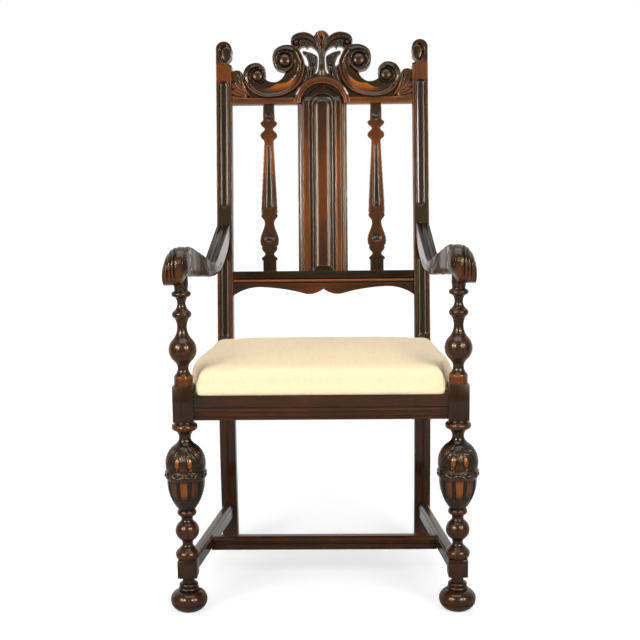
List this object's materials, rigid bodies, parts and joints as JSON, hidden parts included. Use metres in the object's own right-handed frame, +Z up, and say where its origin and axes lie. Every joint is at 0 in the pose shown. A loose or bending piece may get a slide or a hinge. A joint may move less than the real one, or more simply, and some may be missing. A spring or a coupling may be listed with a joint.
{
  "type": "carved high-back armchair",
  "caption": "High-back open armchair of turned and carved dark wood with bulbous front legs, scrolled arms, a moulded splat under a pierced scroll crest, and an upholstered slip seat.",
  "frame": {"origin": "on the floor, under the middle of the bounding box", "axes": "+Z up, -Y towards the front of the chair, +X towards the right of someone who faces the chair; symmetric about X = 0"},
  "size_m": [0.64, 0.5981, 1.224],
  "materials": {
    "dark_wood": "dark red-brown stain under a glossy polish",
    "plain_wood": "plain, unfinished",
    "steel": "dull, slightly darkened",
    "silk": "cream silk with a faint vertical slub",
    "webbing": "woven jute",
    "hessian": "plain hessian",
    "stuffing": "curled hair under wadding",
    "dust_cloth": "black bottoming cloth"
  },
  "bodies": {
    "root": {"front_post_left": "dark_wood", "front_post_right": "dark_wood", "bun_foot_left": "dark_wood", "bun_foot_right": "dark_wood", "rear_post_left": "dark_wood", "rear_post_right": "dark_wood", "crest_rail": "dark_wood", "lower_back_rail": "dark_wood", "centre_splat": "dark_wood", "baluster_splat_left": "dark_wood", "baluster_splat_right": "dark_wood", "arm_left": "dark_wood", "arm_right": "dark_wood", "front_seat_rail": "dark_wood", "rear_seat_rail": "dark_wood", "side_seat_rail_left": "dark_wood", "side_seat_rail_right": "dark_wood", "side_stretcher_left": "dark_wood", "side_stretcher_right": "dark_wood", "cross_stretcher": "dark_wood", "corner_block_front_left": "plain_wood", "corner_block_front_right": "plain_wood", "corner_block_rear_left": "plain_wood", "corner_block_rear_right": "plain_wood", "seat_frame_front": "plain_wood", "seat_frame_rear": "plain_wood", "seat_frame_side_left": "plain_wood", "seat_frame_side_right": "plain_wood", "foot_glide_left": "steel", "foot_glide_right": "steel", "corner_block_screws": "steel", "seat_screws": "steel", "seat_webbing": "webbing", "seat_hessian": "hessian", "seat_stuffing": "stuffing", "seat_cover": "silk", "seat_dust_cloth": "dust_cloth"}
  },
  "joints": []
}
